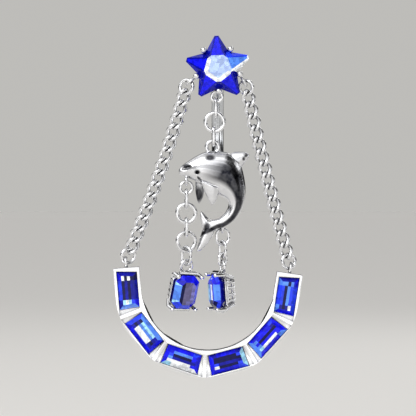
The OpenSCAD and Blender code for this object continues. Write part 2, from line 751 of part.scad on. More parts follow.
module side_drop_setting() {
    color(silver) hang_drop(side_bail_at, side_drop_turn) drop_setting();
}

module side_drop_stone() {
    color(sapphire) hang_drop(side_bail_at, side_drop_turn) drop_stone();
}

// Turns what follows into a cell of the bow: X outwards, Y to the back and Z along the bow
module in_cell(i) {
    translate(bow_at) rotate([0, -cell_middle(i), 0]) children();
}

// Half of a cell's length at a distance from the bow's middle line, towards its neighbour on one side
function cell_half(i, side, x) =
    i + side < 0 || i + side == CELLS
        ? baguette_l / 2 + stone_gap + baguette_taper * x / (2 * baguette_w)
        : (bow_mid + x) * tan(cell_angle / 2) - cell_bar / 2;

// Cuts a cell's pocket down to its ledges, and the window behind its stone
module cell_hollow(i) {
    x = baguette_w / 2 + stone_gap;
    pocket = [
        [x, cell_half(i, 1, x)], [-x, cell_half(i, 1, -x)],
        [-x, -cell_half(i, -1, -x)], [x, -cell_half(i, -1, x)]
    ];
    window = baguette_outline(baguette_w - 2 * ledge_w, baguette_l - 2 * ledge_w, baguette_taper);
    in_cell(i) translate([bow_mid, -bow_t / 2 - 1, 0]) rotate([90, 0, 0]) mirror([0, 0, 1]) {
        linear_extrude(1 + ledge_y) polygon(pocket);
        linear_extrude(bow_t + 2) polygon(window);
    }
}

module bow() {
    last = CELLS - 1;
    corner = 1 / cos(cell_angle / 2);
    function corners(r) = [
        for (i = [1:last])
            let (a = bow_start + i * cell_angle)
            r * corner * [cos(a), sin(a)]
    ];
    function side(r) = [in_bow(0, r, -bow_reach), each corners(r), in_bow(last, r, bow_reach)];
    inner = side(bow_inner);
    outer = side(bow_inner + band_w);
    color(silver) {
        difference() {
            translate([bow_at[0], hang_y + bow_t / 2, bow_at[2]]) rotate([90, 0, 0])
                linear_extrude(bow_t) polygon([each outer, for (i = [CELLS:-1:0]) inner[i]]);
            for (i = [0:last]) cell_hollow(i);
        }
        for (end = [[left_loop_at, 0], [right_loop_at, last]])
            translate(end[0]) rotate([0, 90 - cell_middle(end[1]), 0])
                rotate_extrude() translate([bow_loop_r, 0]) circle(d = link_wire);
    }
}

module baguette(i) {
    color(sapphire) in_cell(i - 1) translate([bow_mid, -bow_t / 2 - baguette_proud, 0])
        loft([
            for (s = STEPS)
                let (
                    in = 1 - s[0],
                    l = baguette_l - baguette_w * s[0]
                )
                [for (p = baguette_outline(baguette_w * in, l, baguette_taper * in))
                    [p[0], s[1] * baguette_t, p[1]]]
        ]);
}

barbell();
star_setting();
star_stone();
left_chain();
right_chain();
bow();
star_link();
centre_ring();
dolphin_link();
dolphin();
snout_ring();
snout_link();
upper_drop_ring();
drop_link();
lower_drop_ring();
bail_link();
front_drop_setting();
front_drop_stone();
tail_link_upper();
tail_link_middle();
tail_link_lower();
side_drop_setting();
side_drop_stone();
for (i = [1:CELLS])
    baguette(i);
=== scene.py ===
"""Navel ring: a claw-set star, two curb chains with a bow of baguettes, a dolphin charm and two drops.

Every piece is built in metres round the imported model. Sizes are in millimetres until MM turns them to metres.
"""

import logging
import math
from dataclasses import dataclass
from enum import Enum
from functools import cached_property
from typing import Callable, Sequence

import bpy
from mathutils import Matrix, Vector


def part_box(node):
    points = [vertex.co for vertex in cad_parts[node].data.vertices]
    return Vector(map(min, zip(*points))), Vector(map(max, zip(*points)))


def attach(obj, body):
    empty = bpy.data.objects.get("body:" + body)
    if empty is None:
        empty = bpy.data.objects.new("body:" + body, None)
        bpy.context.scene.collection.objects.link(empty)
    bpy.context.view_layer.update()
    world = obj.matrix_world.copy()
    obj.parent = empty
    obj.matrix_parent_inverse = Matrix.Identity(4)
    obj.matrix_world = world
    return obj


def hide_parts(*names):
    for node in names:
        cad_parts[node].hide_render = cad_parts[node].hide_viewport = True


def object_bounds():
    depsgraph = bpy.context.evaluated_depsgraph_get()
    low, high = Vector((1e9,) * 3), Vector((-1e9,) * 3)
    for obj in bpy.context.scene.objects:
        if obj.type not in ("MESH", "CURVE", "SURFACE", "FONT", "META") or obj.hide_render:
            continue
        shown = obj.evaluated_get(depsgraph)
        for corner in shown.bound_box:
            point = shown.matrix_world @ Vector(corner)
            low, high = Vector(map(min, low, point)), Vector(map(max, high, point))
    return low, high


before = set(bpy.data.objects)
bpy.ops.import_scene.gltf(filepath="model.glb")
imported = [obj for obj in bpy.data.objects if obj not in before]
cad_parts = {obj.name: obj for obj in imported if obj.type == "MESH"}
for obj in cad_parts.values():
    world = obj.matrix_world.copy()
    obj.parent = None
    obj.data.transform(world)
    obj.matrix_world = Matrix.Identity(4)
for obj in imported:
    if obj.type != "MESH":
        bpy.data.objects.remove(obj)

Tree = bpy.types.NodeTree
Socket = bpy.types.NodeSocket
Piece = bpy.types.Object
Material = bpy.types.Material
Face = bpy.types.MeshPolygon

LOG = logging.getLogger("navel_ring")
MM = 0.001
BODY = "root"
CAD_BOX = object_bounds()
# How far apart two places may lie, in metres, and still count as one.
SAME_PLACE = 0.01 * MM
# The middle of the bow's U, across and up in millimetres.
BOW_CENTRE = (-1.35, -19.4)


class Slot(Enum):
    """The record's material slots; no piece in this script is given one."""

    SILVER = "silver"
    ANTIQUE = "antique_silver"
    STONE = "blue_stone"


class Tone(Enum):
    """The painted light and shade of a blue stone's facets: what a facet shows of the light inside it, from dark to
    bright.
    """

    NAVY = "#080B4A"
    DEEP = "#0C12A0"
    ROYAL = "#1618EE"
    BLUE = "#2A46FF"
    SKY = "#5C92FF"
    ICE = "#A9E2FF"
    PALE = "#B4CBFF"
    WHITE = "#F8FBFF"
    LILAC = "#7F7CC0"
    MAUVE = "#6E6890"


def linear(colour: str) -> tuple[float, float, float, float]:
    """Turns an sRGB hex colour to linear light.

    Args:
        colour: Six hex digits, with or without a leading #.

    Returns:
        Red, green and blue in linear light, and an alpha of one.
    """
    digits = colour.lstrip("#")
    parts = [int(digits[i : i + 2], 16) / 255 for i in (0, 2, 4)]
    red, green, blue = [c / 12.92 if c <= 0.04045 else ((c + 0.055) / 1.055) ** 2.4 for c in parts]
    return red, green, blue, 1.0


def add_node(
    tree: Tree,
    kind: str,
    values: dict[str, object] | None = None,
    links: dict[str, Socket] | None = None,
    **settings: object,
) -> bpy.types.Node:
    """Adds one node with its settings, input values and incoming links.

    Args:
        tree: The node tree that gets the node.
        kind: The node's type name, without its ShaderNode.
        values: Input values by socket name.
        links: Output sockets to link in, by the name of the input socket.
        settings: Properties of the node itself.

    Returns:
        The new node.
    """
    node = tree.nodes.new("ShaderNode" + kind)
    for name, value in settings.items():
        setattr(node, name, value)
    for name, value in (values or {}).items():
        node.inputs[name].default_value = value
    for name, socket in (links or {}).items():
        tree.links.new(socket, node.inputs[name])
    return node


def ramp(tree: Tree, value: Socket, stops: Sequence[tuple[float, str]]) -> Socket:
    """Adds a colour ramp.

    Args:
        tree: The node tree that gets it.
        value: The socket whose values pick the colours.
        stops: Places from 0 to 1 with sRGB hex colours, in rising order.

    Returns:
        The socket with the colours.
    """
    node = add_node(tree, "ValToRGB", links={"Fac": value})
    elements = node.color_ramp.elements
    while len(elements) < len(stops):
        elements.new(1.0)
    for element, (place, colour) in zip(elements, stops):
        element.position = place
        element.color = linear(colour)
    return node.outputs["Color"]


def remap(tree: Tree, value: Socket, start: tuple[float, float], end: tuple[float, float]) -> Socket:
    """Stretches values from one range to another.

    Args:
        tree: The node tree that gets the node.
        value: The socket with the values.
        start: The range that they have.
        end: The range that they get.

    Returns:
        The socket with the stretched values.
    """
    limits = {"From Min": start[0], "From Max": start[1], "To Min": end[0], "To Max": end[1]}
    return add_node(tree, "MapRange", limits, {"Value": value}).outputs["Result"]


def mix(tree: Tree, share: object, one: object, other: object, blend: str = "MIX") -> Socket:
    """Mixes two colours.

    Args:
        tree: The node tree that gets the node.
        share: How much of the second colour shows, as a number or a socket.
        one: The first colour or its socket.
        other: The second colour or its socket.
        blend: How the two are put together.

    Returns:
        The socket with the mixed colour.
    """
    inputs = {"Fac": share, "Color1": one, "Color2": other}
    links = {name: part for name, part in inputs.items() if isinstance(part, Socket)}
    values = {name: part for name, part in inputs.items() if name not in links}
    return add_node(tree, "MixRGB", values, links, blend_type=blend).outputs["Color"]


def blank_material(name: str) -> tuple[Material, Tree, Socket]:
    """Makes a material that holds nothing yet but the place on the object.

    Args:
        name: The real material's name.

    Returns:
        The material, its tree and the socket with the object coordinates.
    """
    material = bpy.data.materials.new(name)
    material.use_nodes = True
    tree = material.node_tree
    tree.nodes.clear()
    return material, tree, add_node(tree, "TexCoord").outputs["Object"]


def surface(tree: Tree, values: dict[str, object], links: dict[str, Socket]) -> None:
    """Ends a material with its shader and its output.

    Args:
        tree: The material's tree.
        values: The shader's input values.
        links: The sockets linked into the shader.
    """
    shader = add_node(tree, "BsdfPrincipled", values, links)
    add_node(tree, "OutputMaterial", links={"Surface": shader.outputs["BSDF"]})


@dataclass(frozen=True)
class PolishedMetal:
    """A cast or drawn metal, tumbled and buffed.

    Buffing leaves fine scratches about 0.05 mm apart, drawn here 0.12 mm apart so that they show. Hollows and the
    places where parts meet are darkened by an occlusion mask: painted shade, which on blackened silver also stands
    for the blackening that the wheel doesn't reach.
    """

    name: str
    bright: str
    dull: str
    # The colour of the painted shade in hollows and where parts meet, also that of the blackening.
    shade_and_patina: str
    roughness: float
    spread: float
    # How far the painted shade's occlusion mask reaches in millimetres, and how dark it makes the metal.
    shade_and_patina_mm: float
    shade_and_patina_share: float
    scratch_mm: float = 0.12
    cloud_mm: float = 1.6
    scratch_height: float = 0.004
    patina_attribute: str = ""

    def build(self) -> Material:
        """Makes the metal's node material."""
        material, tree, place = blank_material(self.name)
        clouds = add_node(
            tree, "TexNoise",
            {"Scale": 1 / (self.cloud_mm * MM), "Detail": 3.0, "Roughness": 0.55}, {"Vector": place},
        ).outputs["Fac"]
        scratches = add_node(
            tree, "TexNoise",
            {"Scale": 1 / (self.scratch_mm * MM), "Detail": 4.0, "Roughness": 0.7, "Distortion": 0.6},
            {"Vector": place},
        ).outputs["Fac"]
        # Painted shade: an occlusion mask darkens hollows and the places where parts meet.
        hollow = add_node(tree, "AmbientOcclusion", {"Distance": self.shade_and_patina_mm * MM}, samples=8)
        shadow = remap(tree, hollow.outputs["AO"], (0.25, 0.85), (self.shade_and_patina_share, 0.0))
        colour = mix(tree, clouds, linear(self.dull), linear(self.bright))
        colour = mix(tree, shadow, colour, linear(self.shade_and_patina))
        if self.patina_attribute:
            colour = self._add_patina(tree, colour, clouds)
        rough = remap(tree, scratches, (0.3, 0.7), (self.roughness, self.roughness + self.spread))
        relief = add_node(
            tree, "Bump", {"Strength": 0.35, "Distance": self.scratch_height * MM}, {"Height": scratches}
        )
        surface(
            tree, {"Metallic": 1.0}, {"Base Color": colour, "Roughness": rough, "Normal": relief.outputs["Normal"]}
        )
        return material

    def _add_patina(self, tree: Tree, colour: Socket, clouds: Socket) -> Socket:
        """Darkens the metal where the mesh says that blackening was left on it or painted shade falls, in worn
        streaks.
        """
        left_on = add_node(tree, "Attribute", attribute_name=self.patina_attribute)
        worn = remap(tree, clouds, (0.35, 0.65), (0.9, 1.0))
        share = add_node(tree, "Math", operation="MULTIPLY", use_clamp=True)
        tree.links.new(left_on.outputs["Fac"], share.inputs[0])
        tree.links.new(worn, share.inputs[1])
        return mix(tree, share.outputs["Value"], colour, linear(self.shade_and_patina))


@dataclass(frozen=True)
class CutStone:
    """Royal-blue cubic zirconia, faceted and polished to a mirror.

    Its refraction throws the light about inside, so facets side by side run from navy to white. That light and shade
    is
    painted: each facet's colour is an attribute of the mesh, and fine shards inside a facet break it up as painted
    reflections of the back facets. The surface's own glare is held down, as it is in a light tent, so that the blue
    stays deep.
    """

    name: str = "blue_cubic_zirconia"
    shard_mm: float = 0.5
    shard_dark: float = 0.72
    shard_light: float = 1.16
    ior: float = 2.16
    glare: float = 0.07
    roughness: float = 0.03

    def build(self) -> Material:
        """Makes the stone's node material."""
        material, tree, place = blank_material(self.name)
        facet = add_node(tree, "Attribute", attribute_name="facet_colour")
        # Painted reflections of the back facets: shards that shift each facet's painted colour darker and lighter.
        shards = add_node(
            tree, "TexVoronoi", {"Scale": 1 / (self.shard_mm * MM), "Randomness": 1.0},
            {"Vector": place}, feature="F1", distance="CHEBYCHEV",
        )
        grey = add_node(tree, "RGBToBW", links={"Color": shards.outputs["Color"]})
        shift = remap(tree, grey.outputs["Val"], (0.25, 0.75), (self.shard_dark, self.shard_light))
        colour = add_node(tree, "HueSaturation", links={"Value": shift, "Color": facet.outputs["Color"]})
        surface(
            tree, {"IOR": self.ior, "Roughness": self.roughness, "Specular IOR Level": self.glare},
            {"Base Color": colour.outputs["Color"]},
        )
        return material


@dataclass(frozen=True)
class Paper:
    """Pale uncoated card for the floor, with a grain too faint to draw the eye."""

    name: str = "pale_card"
    colour: str = "#E9E7E3"
    grain_mm: float = 0.8
    grain_depth: float = 0.02

    def build(self) -> Material:
        """Makes the card's node material."""
        material, tree, place = blank_material(self.name)
        grain = add_node(
            tree, "TexNoise", {"Scale": 1 / (self.grain_mm * MM), "Detail": 2.0}, {"Vector": place}
        )
        relief = add_node(
            tree, "Bump", {"Strength": 0.1, "Distance": self.grain_depth * MM},
            {"Height": grain.outputs["Fac"]},
        )
        surface(tree, {"Base Color": linear(self.colour), "Roughness": 0.9}, {"Normal": relief.outputs["Normal"]})
        return material


CHAIN_SILVER = PolishedMetal(
    # Sterling silver, tumbled as a chain: as bright as the rest, with painted shade where link meets link.
    "tumbled_silver", "#F4F4F5", "#DEDFE2", "#1F1E21", 0.12, 0.10, 0.5, 0.95,
)
SILVER = PolishedMetal(
    # Sterling silver with a bright buffed skin: near white, with dark lines where it mirrors the room.
    "polished_silver", "#F3F3F4", "#DCDDE0", "#2C2B2E", 0.15, 0.10, 0.45, 0.7,
)
ANTIQUE = PolishedMetal(
    # Sterling silver, blackened and then buffed: bright on what stands out, grey to black in the hollows.
    "antiqued_silver", "#F2F2F4", "#CBCCD0", "#202128", 0.15, 0.13, 0.8, 0.85, cloud_mm=0.7,
    patina_attribute="patina",
)
STEEL = PolishedMetal(
    # Surgical steel, machined and polished: a colder and slightly darker white than silver.
    "surgical_steel", "#D5D7DA", "#BFC2C6", "#54555A", 0.12, 0.08, 0.4, 0.25,
)


def clear_selection() -> None:
    """Leaves every object deselected, in object mode."""
    if bpy.context.object and bpy.context.object.mode != "OBJECT":
        bpy.ops.object.mode_set(mode="OBJECT")
    bpy.ops.object.select_all(action="DESELECT")


def activate(piece: Piece) -> None:
    """Selects one object alone and makes it active."""
    clear_selection()
    piece.select_set(True)
    bpy.context.view_layer.objects.active = piece


def settle(piece: Piece) -> Piece:
    """Puts an object's place, turn and size into its mesh."""
    activate(piece)
    bpy.ops.object.transform_apply(location=True, rotation=True, scale=True)
    return piece


def transform(piece: Piece, matrix: Matrix) -> Piece:
    """Moves and turns a settled piece by changing its mesh."""
    piece.data.transform(matrix)
    piece.data.update()
    return piece


def pick(piece: Piece, kind: str, test: Callable[..., bool]) -> None:
    """Goes into edit mode with the elements of one kind selected that pass a test.

    Args:
        piece: The mesh object.
        kind: VERT, EDGE or FACE.
        test: Tells whether an element is wanted, from a vertex's place, the places of an edge's two ends, or a face.
    """
    activate(piece)
    bpy.ops.object.mode_set(mode="EDIT")
    bpy.ops.mesh.select_mode(type=kind)
    bpy.ops.mesh.select_all(action="DESELECT")
    leave_edit()
    mesh = piece.data
    if kind == "VERT":
        for vertex in mesh.vertices:
            vertex.select = test(vertex.co)
    elif kind == "EDGE":
        for edge in mesh.edges:
            edge.select = test(*(mesh.vertices[end].co for end in edge.vertices))
    else:
        for face in mesh.polygons:
            face.select = test(face)
    bpy.ops.object.mode_set(mode="EDIT")


def leave_edit() -> None:
    """Goes back to object mode."""
    bpy.ops.object.mode_set(mode="OBJECT")


def shade(piece: Piece, sharpest: float | None = None) -> None:
    """Shades a piece smooth.

    Args:
        piece: The mesh object.
        sharpest: The angle in degrees past which an edge stays sharp, or None to leave no edge sharp.
    """
    activate(piece)
    if sharpest is None:
        bpy.ops.object.shade_smooth()
    else:
        bpy.ops.object.shade_smooth_by_angle(angle=math.radians(sharpest))


def clamp(value: float, most: float = 1.0) -> float:
    """Holds a value between 0 and the most that it may be."""
    return min(most, max(0.0, value))


def apply_modifier(piece: Piece, kind: str, **settings: object) -> None:
    """Adds a modifier with its settings and applies it.

    Args:
        piece: The object.
        kind: The modifier's type.
        settings: Properties of the modifier.
    """
    activate(piece)
    bpy.ops.object.modifier_add(type=kind)
    modifier = piece.modifiers[-1]
    for name, value in settings.items():
        setattr(modifier, name, value)
    bpy.ops.object.modifier_apply(modifier=modifier.name)


def cad_copy(node: str, name: str) -> Piece:
    """Copies a CAD node's mesh and merges its loose triangles.

    Args:
        node: The CAD node.
        name: The copy's name.

    Returns:
        The copy, as an object of its own.
    """
    piece = bpy.data.objects.new(name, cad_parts[node].data.copy())
    bpy.context.scene.collection.objects.link(piece)
    piece.data.materials.clear()
    pick(piece, "VERT", lambda place: True)
    bpy.ops.mesh.remove_doubles(threshold=0.001 * MM)
    leave_edit()
    return piece


def join(pieces: Sequence[Piece], name: str) -> Piece:
    """Joins pieces into the first of them.

    Args:
        pieces: The objects to join.
        name: The whole's name.

    Returns:
        The joined object.
    """
    clear_selection()
    for piece in pieces:
        piece.select_set(True)
    bpy.context.view_layer.objects.active = pieces[0]
    if len(pieces) > 1:
        bpy.ops.object.join()
    pieces[0].name = name
    return pieces[0]


def fuse(piece: Piece, voxel: float, rounds: int) -> None:
    """Melts the parts of a joined piece into one skin, smooths it and shades it.

    Args:
        piece: The joined object.
        voxel: The size of the skin's cells in millimetres.
        rounds: How many times the skin is smoothed.
    """
    apply_modifier(piece, "REMESH", mode="VOXEL", voxel_size=voxel * MM)
    apply_modifier(piece, "SMOOTH", factor=0.5, iterations=rounds)
    shade(piece)


def finish_piece(piece: Piece, name: str, material: Material, nodes: Sequence[str]) -> Piece:
    """Names a piece, dresses it and ties it to the model.

    Args:
        piece: The finished mesh object, settled at the origin.
        name: Its name.
        material: Its material.
        nodes: The CAD nodes that it stands for.

    Returns:
        The piece.
    """
    piece.name = name
    piece.data.name = name
    piece.data.materials.clear()
    piece.data.materials.append(material)
    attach(piece, BODY)
    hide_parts(*nodes)
    LOG.info("%s: %d faces, stands for %s", name, len(piece.data.polygons), ", ".join(nodes))
    return piece


def torus(radius: float, wire: float, place: Matrix, round_steps: int = 72, wire_steps: int = 18) -> Piece:
    """Adds a round wire ring.

    Args:
        radius: The ring's centre-line radius in metres.
        wire: The wire's diameter in metres.
        place: Where the ring goes; its own axis is Z.
        round_steps: Segments round the ring.
        wire_steps: Segments round the wire.

    Returns:
        The ring, settled.
    """
    clear_selection()
    bpy.ops.mesh.primitive_torus_add(
        major_radius=radius, minor_radius=wire / 2, major_segments=round_steps, minor_segments=wire_steps
    )
    return transform(bpy.context.object, place)


def upright(centre: Vector, turn: float) -> Matrix:
    """The place of a ring that stands and faces the front, turned about the vertical by degrees."""
    return (
        Matrix.Translation(centre)
        @ Matrix.Rotation(math.radians(turn), 4, "Z")
        @ Matrix.Rotation(math.radians(90), 4, "X")
    )


@dataclass(frozen=True)
class JumpRing:
    """A ring or oval link of round wire, closed where its two ends meet.

    A width of 0 makes a round ring. The outside height is that of the CAD node.
    """

    node: str
    wire: float
    turn: float
    width: float = 0.0
    seam: float = 0.035
    soften: float = 0.02
    overcut: float = 1.4
    bevel_angle: float = 60.0
    smooth_angle: float = 40.0

    def build(self, material: Material) -> Piece:
        """Bends the ring, cuts its seam and dresses it."""
        low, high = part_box(self.node)
        centre = (low + high) / 2
        height = high.z - low.z
        across = self.width * MM if self.width else height
        radius = (across - self.wire * MM) / 2
        ring = torus(radius, self.wire * MM, upright(centre, self.turn))
        if self.width:
            self._stretch(ring, centre.z, (height - across) / 2)
        side = Matrix.Rotation(math.radians(self.turn), 4, "Z") @ Vector((radius, 0, 0))
        self._cut_seam(ring, centre + side)
        shade(ring, self.smooth_angle)
        return finish_piece(ring, self.node + "_wire", material, [self.node])

    def _stretch(self, ring: Piece, middle: float, reach: float) -> None:
        """Pulls the two halves of a round ring apart into an oval link."""
        for sign in (1, -1):
            pick(ring, "VERT", lambda place: sign * (place.z - middle) > SAME_PLACE)
            bpy.ops.transform.translate(value=(0, 0, sign * reach))
            leave_edit()

    def _cut_seam(self, ring: Piece, at: Vector) -> None:
        """Cuts the fine gap between the wire's two ends, with a slab that reaches past the wire all round."""
        clear_selection()
        bpy.ops.mesh.primitive_cube_add(size=1, location=at)
        cutter = bpy.context.object
        cutter.scale = Vector((self.wire * self.overcut, self.wire * self.overcut, self.seam)) * MM
        settle(cutter)
        apply_modifier(ring, "BOOLEAN", operation="DIFFERENCE", object=cutter, solver="EXACT")
        bpy.data.objects.remove(cutter)
        apply_modifier(
            ring, "BEVEL", width=self.soften * MM, segments=2, limit_method="ANGLE",
            angle_limit=math.radians(self.bevel_angle),
        )


@dataclass(frozen=True)
class CurbChain:
    """A curb chain: oval links, each twisted until the chain lies flat, with a jump ring at each end."""

    node: str
    wire: float = 0.54
    ring_wire: float = 0.44
    link_width: float = 1.92
    rise: float = 0.37
    clearance: float = 0.02
    ring_outside: float = 2.3
    end_turn: float = 26.0

    def build(self, material: Material) -> Piece:
        """Strings the links where the CAD chain has its own."""
        top, *links, foot = self._link_centres()
        last = len(links) - 1
        step = sum((b - a).length for a, b in zip(links, links[1:])) / last
        first = self._twisted_link(step)
        parts = []
        for i, centre in enumerate(links):
            along = links[min(i + 1, last)] - links[max(i - 1, 0)]
            copy = bpy.data.objects.new(f"{self.node}_link", first.data.copy())
            bpy.context.scene.collection.objects.link(copy)
            parts.append(transform(copy, Matrix.Translation(centre) @ self._lean(along)))
        bpy.data.objects.remove(first)
        radius = (self.ring_outside - self.ring_wire) / 2 * MM
        for centre, turn in ((top, -self.end_turn), (foot, self.end_turn)):
            place = Matrix.Translation(centre) @ self._lean(foot - top) @ upright(Vector(), turn)
            parts.append(torus(radius, self.ring_wire * MM, place))
        chain = join(parts, self.node + "_curb")
        shade(chain)
        return finish_piece(chain, self.node + "_curb", material, [self.node])

    @staticmethod
    def _lean(along: Vector) -> Matrix:
        """The turn about Y that stands a link's own Z along the chain."""
        return Matrix.Rotation(math.atan2(along.x, along.z) - math.pi, 4, "Y")

    def _link_centres(self) -> list[Vector]:
        """The middles of the CAD chain's loose solids, from the top down."""
        activate(cad_copy(self.node, "scratch_chain"))
        bpy.ops.mesh.separate(type="LOOSE")
        centres = []
        for part in list(bpy.context.selected_objects):
            spans = [[vertex.co[k] for vertex in part.data.vertices] for k in range(3)]
            centres.append(Vector([(min(span) + max(span)) / 2 for span in spans]))
            bpy.data.objects.remove(part)
        return sorted(centres, key=lambda c: -c.z)

    def _twisted_link(self, step: float) -> Piece:
        """Bends one oval link along Z and twists it about its length."""
        half_length = (step + (self.wire + self.clearance) * MM) / 2
        half_width = (self.link_width - self.wire) / 2 * MM
        clear_selection()
        bpy.ops.curve.primitive_bezier_circle_add(radius=1, rotation=(math.radians(90), 0, 0))
        link = bpy.context.object
        link.scale = (half_width, half_length, 1)
        settle(link)
        for point in link.data.splines[0].bezier_points:
            point.radius = 1.0
        link.data.resolution_u = 12
        link.data.bevel_depth = self.wire / 2 * MM
        link.data.bevel_resolution = 4
        link.data.use_fill_caps = False
        activate(link)
        bpy.ops.object.convert(target="MESH")
        link = bpy.context.object
        twist = 2 * self.rise * MM * (2 * half_length + self.wire * MM) / (half_width * half_length)
        apply_modifier(link, "SIMPLE_DEFORM", deform_method="TWIST", angle=twist, deform_axis="Z")
        return link


# Sections of the dolphin, as shares of its width from the snout and of its height from the top of its back.
# Columns: one edge across, one edge down, other edge across, other edge down, half thickness as a share.
BODY_ROWS = (
    (0.004, 0.195, 0.006, 0.225, 0.10),
    (0.020, 0.172, 0.020, 0.243, 0.28),
    (0.060, 0.142, 0.060, 0.252, 0.42),
    (0.120, 0.112, 0.120, 0.262, 0.52),
    (0.175, 0.086, 0.172, 0.280, 0.64),
    (0.260, 0.050, 0.253, 0.308, 0.80),
    (0.378, 0.013, 0.347, 0.343, 0.94),
    (0.530, 0.008, 0.428, 0.382, 1.00),
    (0.710, 0.026, 0.516, 0.422, 1.00),
    (0.865, 0.130, 0.597, 0.453, 0.94),
    (0.934, 0.308, 0.660, 0.475, 0.84),
    (0.938, 0.460, 0.697, 0.512, 0.72),
    (0.900, 0.563, 0.694, 0.556, 0.62),
    (0.822, 0.660, 0.653, 0.611, 0.54),
    (0.703, 0.730, 0.572, 0.664, 0.46),
    (0.584, 0.765, 0.484, 0.681, 0.38),
    (0.472, 0.810, 0.403, 0.706, 0.30),
    (0.430, 0.820, 0.370, 0.725, 0.16),
)
BACK_FIN = (
    (0.64, 0.08, 0.84, 0.22, 0.50),
    (0.76, 0.018, 0.895, 0.165, 0.40),
    (0.87, 0.008, 0.935, 0.120, 0.32),
    (0.955, 0.018, 0.968, 0.092, 0.22),
    (0.992, 0.040, 0.990, 0.070, 0.12),
)
NEAR_FIN = (
    (0.30, 0.30, 0.58, 0.37, 0.46),
    (0.345, 0.37, 0.565, 0.42, 0.40),
    (0.385, 0.435, 0.545, 0.465, 0.32),
    (0.430, 0.500, 0.520, 0.505, 0.22),
    (0.462, 0.535, 0.485, 0.532, 0.12),
)
FAR_FIN = (
    (0.24, 0.27, 0.40, 0.33, 0.42),
    (0.232, 0.35, 0.375, 0.40, 0.36),
    (0.240, 0.42, 0.345, 0.46, 0.28),
    (0.262, 0.49, 0.315, 0.50, 0.18),
    (0.285, 0.525, 0.300, 0.525, 0.10),
)
UPPER_FLUKE = (
    (0.52, 0.69, 0.40, 0.80, 0.36),
    (0.43, 0.665, 0.338, 0.77, 0.30),
    (0.365, 0.622, 0.310, 0.705, 0.24),
    (0.318, 0.592, 0.300, 0.640, 0.16),
)
LOWER_FLUKE = (
    (0.50, 0.815, 0.39, 0.70, 0.36),
    (0.437, 0.887, 0.332, 0.79, 0.30),
    (0.372, 0.945, 0.298, 0.865, 0.24),
    (0.315, 0.982, 0.272, 0.930, 0.18),
    (0.262, 0.999, 0.252, 0.975, 0.12),
)
# Hollows sunk into both flanks: across, down, length and height in mm, and turn in degrees.
# The mouth, the eye, the back fin's dimple, the crease behind the jaw and the one between the flukes.
HOLLOWS = (
    (0.105, 0.172, 1.70, 0.52, 12),
    (0.262, 0.216, 0.46, 0.46, 0),
    (0.915, 0.084, 0.46, 0.40, 0),
    (0.300, 0.285, 1.10, 0.26, -50),
    (0.395, 0.745, 1.30, 0.40, 72),
)
# How far off the middle plane a ray starts that looks for the casting's surface.
OUTSIDE = 5 * MM
# Dark spots that lie flat on the metal: across, down, width and height in mm. The third is painted shade under the
# back loop; the others darken the metal by the fins, between the flukes, in the mouth and round the eye.
DARK_SPOTS = (
    (0.285, 0.430, 1.50, 2.70),
    (0.400, 0.760, 1.10, 1.90),
    # Painted shade under the back loop.
    (0.445, 0.072, 1.60, 0.95),
    (0.115, 0.155, 1.35, 0.85),
    (0.265, 0.212, 0.95, 0.75),
)


@dataclass(frozen=True)
class PatinaBand:
    """The blackened band along the dolphin's flanks.

    Places along it are shares of the body's length from the snout, and places across it are shares of half its
    height, up from its middle. The least size of a spot is in millimetres.
    """

    steps_a_row: int = 6
    start: float = 0.32
    fade: float = 0.15
    rises_from: float = 0.42
    rise: float = 1.1
    highest: float = 0.42
    reach: float = 0.60
    narrows_from: float = 0.55
    narrows_over: float = 0.2
    narrows_by: float = 0.18
    rim: float = 1.05
    strength: float = 1.5
    spot_strength: float = 1.3
    least_spot: float = 0.5

    def left_on(self, along: float, up: float) -> float:
        """The blackening that the band leaves at a place, from 0 to 1."""
        if abs(up) >= self.rim:
            return 0.0
        middle = clamp((along - self.rises_from) * self.rise, self.highest)
        reach = self.reach - self.narrows_by * clamp((along - self.narrows_from) / self.narrows_over)
        band = clamp((1 - ((up - middle) / reach) ** 2) * self.strength)
        return band * clamp((along - self.start) / self.fade)

    def spot(self, away: float) -> float:
        """The darkening inside a spot, blackening or painted shade, from the square of the distance to its middle as
        a share of its reach.
        """
        return clamp(self.spot_strength * (1 - away))


